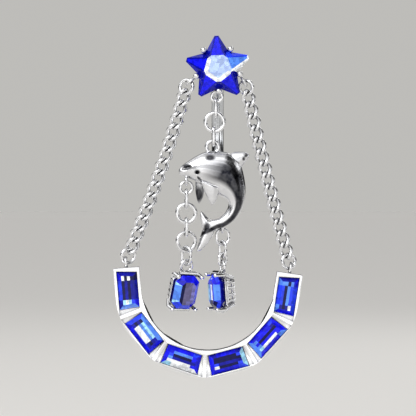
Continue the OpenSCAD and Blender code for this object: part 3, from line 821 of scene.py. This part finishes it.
@dataclass
class DolphinCharm:
    """The dolphin: a solid casting with fins, flukes, pits and three loops, blackened and buffed."""

    node: str = "dolphin"
    width: float = 9.4
    height: float = 13.4
    thickness: float = 2.8
    loop_outside: float = 2.1
    loop_wire: float = 0.52
    body_loop_outside: float = 1.494
    body_loop_wire: float = 0.4
    hollow_depth: float = 0.75
    voxel: float = 0.07
    rounds: int = 3
    sides: int = 24
    rings_a_row: int = 5
    # Where the box's left edge, the back loop, the snout loop and the tail loop lie, as shares.
    left_edge: float = 0.008
    back_loop: tuple[float, float] = (0.478, -0.035)
    snout_loop: tuple[float, float] = (0.110, 0.298)
    tail_loop: tuple[float, float] = (0.62, 0.765)
    tail_loop_depth: float = 0.24
    # How far the fins lie before and behind the middle plane, and the least thickness, as shares of the half.
    near_fin: float = -0.5
    far_fin: float = 0.45
    thinnest: float = 0.02
    band: PatinaBand = PatinaBand()

    def build(self, material: Material) -> Piece:
        """Models the casting and dresses it."""
        half = self.thickness / 2
        parts = [
            self._limb(BODY_ROWS, 0.0),
            self._limb(BACK_FIN, 0.0),
            self._limb(NEAR_FIN, self.near_fin * half),
            self._limb(FAR_FIN, self.far_fin * half),
            self._limb(UPPER_FLUKE, 0.0),
            self._limb(LOWER_FLUKE, 0.0),
        ]
        for part in parts:
            self._close(part)
        body = parts[0]
        for hollow in HOLLOWS:
            self._sink(body, *hollow)
        charm = join(parts + self._loops(), "dolphin_cast")
        fuse(charm, self.voxel, self.rounds)
        self._blacken_and_shade(charm)
        return finish_piece(charm, "dolphin_cast", material, [self.node])

    @cached_property
    def loop_centre(self) -> Vector:
        """The middle of the loop on the back, at the top of the CAD node."""
        low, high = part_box(self.node)
        across = low.x + (self.back_loop[0] - self.left_edge) * self.width * MM
        return Vector((across, (low.y + high.y) / 2, high.z - self.loop_outside / 2 * MM))

    def _at(self, across: float, down: float, depth: float = 0.0) -> Vector:
        """A place on the dolphin from its shares, with a depth in millimetres."""
        loop_across, loop_down = self.back_loop
        away = Vector(((across - loop_across) * self.width, depth, (loop_down - down) * self.height))
        return self.loop_centre + away * MM

    def _section(self, row: Sequence[float]) -> tuple[Vector, Vector]:
        """The middle of a section, and the reach from it to the section's first edge."""
        one, other = self._at(row[0], row[1]), self._at(row[2], row[3])
        return (one + other) / 2, (one - other) / 2

    @staticmethod
    def _between(rows: Sequence[Sequence[float]], along: float) -> list[float]:
        """A row of the table at a place between two rows, on a smooth curve through all of them."""
        i = min(int(along), len(rows) - 2)
        t = along - i
        before, here = rows[max(i - 1, 0)], rows[i]
        after, beyond = rows[i + 1], rows[min(i + 2, len(rows) - 1)]
        return [
            0.5 * (2 * b + (c - a) * t + (2 * a - 5 * b + 4 * c - d) * t * t + (3 * b - a - 3 * c + d) * t ** 3)
            for a, b, c, d in zip(before, here, after, beyond)
        ]

    def _limb(self, rows: Sequence[Sequence[float]], depth: float) -> Piece:
        """Wraps a grid round the sections of a limb that lies some millimetres behind the middle plane."""
        rings = (len(rows) - 1) * self.rings_a_row
        clear_selection()
        bpy.ops.mesh.primitive_grid_add(x_subdivisions=self.sides, y_subdivisions=rings, size=2)
        tube = bpy.context.object
        half = self.thickness / 2
        for vertex in tube.data.vertices:
            turn = math.pi * (vertex.co.x + 1)
            row = self._between(rows, (vertex.co.y + 1) / 2 * (len(rows) - 1))
            middle, reach = self._section(row)
            vertex.co = middle + reach * math.sin(turn) + Vector(
                (0, (depth - half * max(row[4], self.thinnest) * math.cos(turn)) * MM, 0)
            )
        return tube

    def _close(self, tube: Piece) -> None:
        """Closes a tube's seam and its two ends, and turns its faces outwards."""
        pick(tube, "VERT", lambda place: True)
        bpy.ops.mesh.remove_doubles(threshold=0.002 * MM)
        bpy.ops.mesh.select_all(action="DESELECT")
        bpy.ops.mesh.select_mode(type="EDGE")
        bpy.ops.mesh.select_non_manifold()
        bpy.ops.mesh.fill()
        bpy.ops.mesh.select_all(action="SELECT")
        bpy.ops.mesh.normals_make_consistent(inside=False)
        leave_edit()

    def _sink(self, body: Piece, across: float, down: float, length: float, height: float, turn: float) -> None:
        """Sinks a hollow of the table into both flanks; its turn from level rises to the right."""
        for side in (-1, 1):
            skin = self._flank(body, self._at(across, down), side)
            clear_selection()
            bpy.ops.mesh.primitive_uv_sphere_add(segments=24, ring_count=16, radius=0.5 * MM, location=skin)
            tool = bpy.context.object
            tool.scale = (length, self.hollow_depth, height)
            tool.rotation_euler.y = -math.radians(turn)
            settle(tool)
            apply_modifier(body, "BOOLEAN", operation="DIFFERENCE", object=tool, solver="EXACT")
            bpy.data.objects.remove(tool)

    @staticmethod
    def _flank(body: Piece, at: Vector, side: int) -> Vector:
        """The point of the body's front or back surface straight before or behind a place."""
        start = Vector((at.x, at.y + side * OUTSIDE, at.z))
        hit, place, _, _ = body.ray_cast(start, Vector((0, -side, 0)))
        return place if hit else at

    def _loops(self) -> list[Piece]:
        """The loop on the back, and those of the snout and the tail."""
        radius = (self.loop_outside - self.loop_wire) / 2 * MM
        small = (self.body_loop_outside - self.body_loop_wire) / 2 * MM
        snout = self._at(*self.snout_loop)
        tail = self._at(*self.tail_loop, self.thickness * self.tail_loop_depth)
        return [
            torus(radius, self.loop_wire * MM, upright(self.loop_centre, 0)),
            torus(small, self.body_loop_wire * MM, upright(snout, 90)),
            torus(small, self.body_loop_wire * MM, upright(tail, 90)),
        ]

    def _blacken_and_shade(self, charm: Piece) -> None:
        """Writes how dark each point is: the blackening of a band along the flanks and of the pits, and the dark
        spots, one of them painted shade under the back loop.
        """
        a_row = self.band.steps_a_row
        steps = (len(BODY_ROWS) - 1) * a_row
        sections = [self._section(self._between(BODY_ROWS, k / a_row)) for k in range(steps + 1)]
        middles, reaches = zip(*sections)
        runs = [after - here for here, after in zip(middles, middles[1:])]
        runs.append(runs[-1])
        pits = [(row[0], row[1], row[2], max(row[3], self.band.least_spot)) for row in HOLLOWS if row[4] == 0]
        spots = [(self._at(row[0], row[1]), row[2] / 2 * MM, row[3] / 2 * MM) for row in [*DARK_SPOTS, *pits]]
        # The attribute holds the blackening and the painted shade under the back loop.
        layer = charm.data.attributes.new("patina", "FLOAT", "POINT")
        for vertex in charm.data.vertices:
            place = vertex.co
            near = min(
                range(len(middles)), key=lambda k: (middles[k].x - place.x) ** 2 + (middles[k].z - place.z) ** 2
            )
            away = place - middles[near]
            past = away.dot(runs[near]) / runs[near].length_squared
            along = (near + max(-1.0, min(1.0, past))) / steps
            dark = self.band.left_on(along, away.dot(reaches[near]) / reaches[near].length_squared)
            for middle, wide, high in spots:
                off = ((place.x - middle.x) / wide) ** 2 + ((place.z - middle.z) / high) ** 2
                dark = max(dark, self.band.spot(off))
            layer.data[vertex.index].value = dark


@dataclass
class SolderedSetting:
    """A silver setting: bars, rails, claws and loops soldered into one and polished."""

    node: str
    voxel: float = 0.055
    rounds: int = 3

    def build(self, material: Material) -> Piece:
        """Models the setting and dresses it."""
        name = self.node + "_cast"
        setting = join([cad_copy(self.node, name)] + self.extra_bars(), name)
        fuse(setting, self.voxel, self.rounds)
        return finish_piece(setting, name, material, [self.node])

    def extra_bars(self) -> list[Piece]:
        """Bars that the scene adds to the CAD's own; a plain setting has none."""
        return []


@dataclass
class RibbedBasket(SolderedSetting):
    """A drop's basket, with a row of ribs from its front rail to its back rail on both sides.

    Its reaches, heights and depths run from the middle of the stone's table, in millimetres.
    """

    stone: str = "front_drop_stone"
    rib: float = 0.48
    front_reach: float = 1.6
    back_reach: float = 1.2
    front_depth: float = 1.57
    back_depth: float = 2.72
    heights: tuple[float, ...] = (-0.45, 0.45)
    rail: float = 0.52
    rail_reach: float = 1.25
    rail_height: float = 2.54
    rail_depth: float = 1.05

    def extra_bars(self) -> list[Piece]:
        """The ribs between the CAD's own and the rails above and below the stone, from the stone's table."""
        scratch = whole_facets(self.stone)
        centre, facing, up = table_frame(scratch)
        bpy.data.objects.remove(scratch)
        side = up.cross(facing)
        bars = []
        for sign in (-1, 1):
            for height in self.heights:
                front = centre + (side * sign * self.front_reach - facing * self.front_depth + up * height) * MM
                back = centre + (side * sign * self.back_reach - facing * self.back_depth + up * height) * MM
                bars.append(self._bar(front, back, self.rib))
            rail = centre + (up * sign * self.rail_height - facing * self.rail_depth) * MM
            reach = side * self.rail_reach * MM
            bars.append(self._bar(rail - reach, rail + reach, self.rail))
        return bars

    @staticmethod
    def _bar(start: Vector, end: Vector, across: float) -> Piece:
        """A round bar between two points, with its diameter in millimetres."""
        clear_selection()
        bpy.ops.mesh.primitive_cylinder_add(
            vertices=16, radius=across / 2 * MM, depth=(end - start).length, location=(start + end) / 2,
            rotation=(end - start).to_track_quat("Z", "Y").to_euler(),
        )
        return settle(bpy.context.object)


@dataclass
class ChannelBow:
    """The U-shaped channel with its cells and its two soldered loops."""

    node: str = "bow"
    edge: float = 0.07
    # How far from BOW_CENTRE the corners of the inner and the outer side lie, and how near to that an edge must be.
    corner_radii: tuple[float, float] = (9.185, 12.76)
    corner_reach: float = 0.06
    corner_cut: float = 2.3
    corner_steps: int = 10
    bevel_angle: float = 28.0
    smooth_angle: float = 35.0

    def build(self, material: Material) -> Piece:
        """Models the channel with rounded corners and softened edges, and dresses it."""
        bow = whole_facets(self.node)
        pick(bow, "EDGE", self._on_corner)
        bpy.ops.mesh.bevel(offset=self.corner_cut * MM, segments=self.corner_steps, affect="EDGES")
        leave_edit()
        apply_modifier(
            bow, "BEVEL", width=self.edge * MM, segments=3, limit_method="ANGLE",
            angle_limit=math.radians(self.bevel_angle),
        )
        shade(bow, self.smooth_angle)
        return finish_piece(bow, "bow_channel", material, [self.node])

    def _on_corner(self, one: Vector, other: Vector) -> bool:
        """Whether an edge runs from front to back along a corner of the bow's inner or outer side."""
        if abs(one.x - other.x) > SAME_PLACE or abs(one.z - other.z) > SAME_PLACE:
            return False
        reach = math.hypot(one.x / MM - BOW_CENTRE[0], one.z / MM - BOW_CENTRE[1])
        return any(abs(reach - radius) < self.corner_reach for radius in self.corner_radii)


def paint_facets(stone: Piece, tone_of: Callable[[Face], Tone]) -> None:
    """Writes each facet's colour, its painted light and shade, to the mesh.

    Args:
        stone: The stone's object.
        tone_of: The tone of a facet.
    """
    layer = stone.data.color_attributes.new("facet_colour", "FLOAT_COLOR", "CORNER")
    for face in stone.data.polygons:
        colour = linear(tone_of(face).value)
        for corner in face.loop_indices:
            layer.data[corner].color = colour


def whole_facets(node: str, flat: float = 1.0) -> Piece:
    """Copies a CAD node and makes each of its flat sides one face again.

    Args:
        node: The CAD node.
        flat: The angle in degrees below which two triangles count as one side.

    Returns:
        The copy, as an object of its own.
    """
    piece = cad_copy(node, node + "_cut")
    pick(piece, "FACE", lambda face: True)
    bpy.ops.mesh.dissolve_limited(angle_limit=math.radians(flat))
    leave_edit()
    return piece


def table_frame(stone: Piece, forward: float = -0.3) -> tuple[Vector, Vector, Vector]:
    """Finds a step-cut stone's table.

    Args:
        stone: The stone's object, each facet one face.
        forward: The Y of a normal below which a facet may be the table.

    Returns:
        The table's middle, the direction that it faces, and that of its longest edge.
    """
    def share(face: Face) -> float:
        reach = max(vertex.co.dot(face.normal) for vertex in stone.data.vertices)
        return face.area if reach - face.center.dot(face.normal) < SAME_PLACE else 0.0

    table = max((face for face in stone.data.polygons if face.normal.y < forward), key=share)
    corners = [stone.data.vertices[number].co for number in table.vertices]
    edges = [after - before for before, after in zip(corners, corners[1:] + corners[:1])]
    longest = max(edges, key=lambda edge: edge.length)
    return table.center.copy(), table.normal.copy(), longest.normalized()


@dataclass(frozen=True)
class StarStone:
    """The star-cut stone with painted light and shade: a bright table, royal arms with dark borders and one arm with
    a painted highlight.
    """

    node: str = "star_stone"
    turn: float = 2.5
    table_rim: float = 0.34
    arm_rim: float = 0.2
    arms: int = 5
    # The arm with the painted highlight.
    highlight_arm: int = 4
    arm_area: float = 1.2
    # The least area of the middle of an arm, once its rim is cut off, as a share of arm_area.
    arm_middle: float = 0.6
    # How deep the table's facets lie at most, the radius of its middle, and the turns between which its rim has a
    # painted white highlight, in degrees from the upper point.
    table_depth: float = 0.05
    table_middle: float = 0.5
    highlight_turns: tuple[float, float] = (60.0, 250.0)
    # The Y of a normal past which a facet belongs to the stone's underside.
    crown_lean: float = -0.2

    def build(self, material: Material) -> Piece:
        """Cuts the inner reflections of the table and the arms, and dresses the stone."""
        stone = whole_facets(self.node)
        low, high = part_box(self.node)
        centre = (low + high) / 2
        front = low.y + self.table_depth * MM
        large = self.arm_area * MM * MM
        pick(stone, "FACE", lambda face: face.center.y < front)
        bpy.ops.mesh.inset(thickness=self.table_rim * MM, depth=0)
        leave_edit()
        pick(
            stone, "FACE",
            lambda face: face.center.y > front and face.normal.y < self.crown_lean and face.area > large,
        )
        bpy.ops.mesh.inset(thickness=self.arm_rim * MM, depth=0, use_individual=True)
        leave_edit()

        # Painted light and shade: a pale table with a white highlight on its rim, royal arms with deep borders, and
        # one arm lit sky, white and blue.
        def tone_of(face: Face) -> Tone:
            reach = face.center - centre
            turn = (math.degrees(math.atan2(reach.z, reach.x)) - 90 - self.turn) % 360
            if face.center.y < front:
                on_rim = math.hypot(reach.x, reach.z) >= self.table_middle * MM
                start, end = self.highlight_turns
                return Tone.WHITE if on_rim and start <= turn <= end else Tone.PALE
            if face.normal.y > self.crown_lean:
                return Tone.DEEP
            arm_turn = 360 / self.arms
            arm, past = divmod((turn + arm_turn / 2) % 360, arm_turn)
            middle = face.area > large * self.arm_middle
            if arm != self.highlight_arm:
                return Tone.ROYAL if middle else Tone.DEEP
            if middle:
                return Tone.SKY
            return Tone.WHITE if past < arm_turn / 2 else Tone.BLUE

        paint_facets(stone, tone_of)
        return finish_piece(stone, self.node + "_cut", material, [self.node])


@dataclass(frozen=True)
class StepLook:
    """The tones of a step-cut stone, its painted light and shade, one letter each.

    Each row is a stretch of the table, from the start of the stone to its end, and holds the tones of its
    strips from the bow's inner side outwards. The sides are those of the crown: the inner and the outer long
    side with three stretches each, and the short sides at the start and the end.
    """

    rows: tuple[str, str, str]
    sides: tuple[str, str, str, str]

    def tone(self, row: int, strip: int) -> Tone:
        """The tone of a strip in one stretch of the table."""
        return TONE_KEYS[self.rows[row][strip]]

    def side(self, number: int, row: int) -> Tone:
        """The tone of one stretch of the inner, outer, start or end side of the crown."""
        letters = self.sides[number]
        return TONE_KEYS[letters[min(row, len(letters) - 1)]]


# Each tone's first letter stands for it in the tables below.
TONE_KEYS = {tone.name[0].lower(): tone for tone in Tone}
# The painted reflections and shade of the baguettes' and the two drops' table strips and crown sides.
BAGUETTES = (
    StepLook(("nwnw", "dndn", "biwi"), ("ndr", "rbd", "d", "s")),
    StepLook(("ndnd", "isww", "ddnd"), ("sss", "rrr", "b", "r")),
    StepLook(("rbsw", "sndw", "rrdr"), ("rrb", "iww", "r", "r")),
    StepLook(("nnbw", "nndn", "bndb"), ("drd", "rrb", "r", "i")),
    StepLook(("srsi", "rnrw", "dnrr"), ("rrb", "rrs", "s", "r")),
    StepLook(("dndw", "bnsb", "ssns"), ("sbs", "bbr", "r", "d")),
)
FRONT_DROP = StepLook(("lmmn", "lmmn", "llmn"), ("rbr", "isi", "r", "b"))
SIDE_DROP = StepLook(("snnd", "iswr", "rbrd"), ("nsr", "bsr", "n", "b"))


@dataclass(frozen=True)
class StepStone:
    """A step-cut stone, whose table has the steps behind it painted on as strips of reflected light and shade."""

    node: str
    look: StepLook
    end_share: float = 0.17
    # The least cosines to the table's direction: of the table itself, of a crown facet that is cut, and of any
    # crown facet.
    table_lean: float = 0.99
    crown_lean: float = 0.1
    least_lean: float = 0.05

    def build(self, material: Material) -> Piece:
        """Cuts the table's strips and dresses the stone."""
        stone = whole_facets(self.node)
        centre, facing, along = table_frame(stone)
        out = along.cross(facing).normalized()
        middle = Vector((BOW_CENTRE[0] * MM, centre.y, BOW_CENTRE[1] * MM))
        if out.dot(centre - middle) < 0:
            out = -out
        if along.cross(centre - middle).y < 0:
            along = -along
        places = [vertex.co - centre for vertex in stone.data.vertices]
        corners = [place for place in places if abs(place.dot(facing)) < SAME_PLACE]
        half = max(corner.dot(out) for corner in corners)
        reach = max(corner.dot(along) for corner in corners)
        strips = len(self.look.rows[0])
        for k in range(1, strips):
            self._split(stone, centre + out * (2 * half * k / strips - half), out, facing, self.table_lean)
        end = reach * (1 - 2 * self.end_share)
        for sign in (-1, 1):
            self._split(stone, centre + along * sign * end, along, facing, self.crown_lean)

        # Painted light and shade: each strip and crown side takes its tone from the look, and facets turned away
        # take the deep tone of painted shade.
        def tone_of(face: Face) -> Tone:
            away = face.center - centre
            row = 1 + (away.dot(along) > end) - (away.dot(along) < -end)
            if face.normal.dot(facing) > self.table_lean:
                strip = min(strips - 1, max(0, int((away.dot(out) + half) / (2 * half) * strips)))
                return self.look.tone(row, strip)
            if face.normal.dot(facing) < self.least_lean:
                return Tone.DEEP
            lean_out, lean_on = face.normal.dot(out), face.normal.dot(along)
            if abs(lean_out) > abs(lean_on):
                return self.look.side(1 if lean_out > 0 else 0, row)
            return self.look.side(3 if lean_on > 0 else 2, row)

        paint_facets(stone, tone_of)
        return finish_piece(stone, self.node + "_cut", material, [self.node])

    @staticmethod
    def _split(stone: Piece, at: Vector, across: Vector, facing: Vector, least: float) -> None:
        """Splits the facets that face a direction.

        Args:
            stone: The stone's object.
            at: A point of the cut.
            across: The direction at right angles to the cut.
            facing: The direction that the table faces.
            least: The least cosine between a facet that is cut and the table.
        """
        pick(stone, "FACE", lambda face: face.normal.dot(facing) > least)
        bpy.ops.mesh.bisect(plane_co=at, plane_no=across)
        leave_edit()


@dataclass(frozen=True)
class SoftBox:
    """A square soft light that faces the piece, with its place and side in metres and its power in watts."""

    name: str
    offset: tuple[float, float, float]
    side: float
    watts: float

    def hang(self, centre: Vector) -> None:
        """Adds the light at its offset from the piece's middle."""
        clear_selection()
        place = centre + Vector(self.offset)
        bpy.ops.object.light_add(
            type="AREA", location=place, rotation=(centre - place).to_track_quat("-Z", "Y").to_euler()
        )
        light = bpy.context.object
        light.name = self.name
        light.data.size = self.side
        light.data.energy = self.watts


SOFT_BOXES = (
    SoftBox("key", (-0.22, -0.30, 0.26), 0.16, 0.7),
    SoftBox("front", (-0.02, -0.36, 0.05), 0.34, 0.36),
    SoftBox("fill", (0.34, -0.20, 0.02), 0.10, 0.05),
    SoftBox("rim", (0.14, 0.30, 0.22), 0.12, 0.15),
)
# What the metal mirrors, as places from 0 to 1 with colours: from below to above, from left to right, and from
# the middle to behind.
HEIGHT_BANDS = (
    (0.0, "#8E8D8B"), (0.50, "#D9D8D5"), (0.53, "#FFFFFF"), (0.55, "#161515"),
    (0.65, "#161515"), (0.69, "#FFFFFF"), (0.90, "#FFFFFF"), (1.0, "#9A9998"),
)
SIDE_FLAG = (
    (0.0, "#BDBCBA"), (0.10, "#FFFFFF"), (0.62, "#FFFFFF"), (0.68, "#1C1B1B"), (0.84, "#1C1B1B"), (0.90, "#FFFFFF"),
)
BACK_CARD = ((0.0, "#FFFFFF"), (0.45, "#FFFFFF"), (0.72, "#3A3A3C"), (1.0, "#3A3A3C"))


@dataclass(frozen=True)
class Studio:
    """A large pale floor under the hanging piece, soft boxes and a long lens at the photo's height."""

    floor_gap: float = 14.0
    floor_size: float = 40000.0
    lens: float = 180.0
    distance: float = 277.0
    nearest: float = 0.01
    backdrop: str = "#A3A29F"
    strength: float = 1.4

    def build(self, floor_finish: Paper) -> None:
        """Sets the floor, the world, the lights and the camera."""
        low, high = CAD_BOX
        centre = (low + high) / 2
        clear_selection()
        bpy.ops.mesh.primitive_plane_add(
            size=self.floor_size * MM, location=(centre.x, centre.y, low.z - self.floor_gap * MM)
        )
        floor = settle(bpy.context.object)
        floor.name = "floor"
        floor.data.materials.append(floor_finish.build())
        self._world()
        for box in SOFT_BOXES:
            box.hang(centre)
        bpy.ops.object.camera_add(
            location=centre + Vector((0, -self.distance * MM, 0)), rotation=(math.radians(90), 0, 0)
        )
        camera = bpy.context.object
        camera.data.lens = self.lens
        camera.data.clip_start = self.nearest
        bpy.context.scene.camera = camera
        bpy.context.scene.view_settings.view_transform = "Standard"

    def _world(self) -> None:
        """Lights from all round: pale to the camera, banded light and dark in what the metal mirrors."""
        world = bpy.data.worlds.new("studio")
        bpy.context.scene.world = world
        world.use_nodes = True
        tree = world.node_tree
        tree.nodes.clear()
        direction = add_node(tree, "TexCoord").outputs["Generated"]
        parts = add_node(tree, "SeparateXYZ", links={"Vector": direction}).outputs
        bands = ramp(tree, remap(tree, parts["Z"], (-1.0, 1.0), (0.0, 1.0)), HEIGHT_BANDS)
        flag = ramp(tree, remap(tree, parts["X"], (-1.0, 1.0), (0.0, 1.0)), SIDE_FLAG)
        card = ramp(tree, parts["Y"], BACK_CARD)
        room = mix(tree, 1.0, mix(tree, 1.0, bands, flag, "MULTIPLY"), card, "MULTIPLY")
        path = add_node(tree, "LightPath").outputs["Is Camera Ray"]
        seen = mix(tree, path, room, linear(self.backdrop))
        back = add_node(tree, "Background", {"Strength": self.strength}, {"Color": seen})
        add_node(tree, "OutputWorld", links={"Surface": back.outputs["Background"]})


RINGS = (
    JumpRing("star_link", 0.4, 90, 1.5),
    JumpRing("centre_ring", 0.52, 0),
    JumpRing("dolphin_link", 0.4, 90, 1.5),
    JumpRing("snout_ring", 0.4, 8),
    JumpRing("snout_link", 0.4, 95, 1.5),
    JumpRing("upper_drop_ring", 0.52, 6),
    JumpRing("drop_link", 0.4, 98, 1.5),
    JumpRing("lower_drop_ring", 0.52, 16),
    JumpRing("bail_link", 0.4, -44, 2.0),
    JumpRing("tail_link_upper", 0.4, 12, 2.0),
    JumpRing("tail_link_middle", 0.4, -52, 1.65),
    JumpRing("tail_link_lower", 0.4, 34, 1.5),
)


def main() -> None:
    """Builds the whole piece, sub-assembly by sub-assembly."""
    logging.basicConfig(level=logging.INFO, format="%(name)s: %(message)s")
    silver = SILVER.build()
    chain_silver = CHAIN_SILVER.build()
    antique = ANTIQUE.build()
    stone = CutStone().build()
    steel = STEEL.build()
    for chain in (CurbChain("left_chain"), CurbChain("right_chain")):
        chain.build(chain_silver)
    for ring in RINGS:
        ring.build(silver)
    DolphinCharm().build(antique)
    SolderedSetting("star_setting").build(silver)
    RibbedBasket("front_drop_setting").build(chain_silver)
    RibbedBasket("side_drop_setting", stone="side_drop_stone").build(chain_silver)
    ChannelBow().build(silver)
    StarStone().build(stone)
    for number, look in enumerate(BAGUETTES, start=1):
        StepStone(f"baguette_{number}", look).build(stone)
    StepStone("front_drop_stone", FRONT_DROP).build(stone)
    StepStone("side_drop_stone", SIDE_DROP).build(stone)
    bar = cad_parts["barbell"]
    bar.data.materials.clear()
    bar.data.materials.append(steel)
    Studio().build(Paper())


if __name__ == "__main__":
    main()
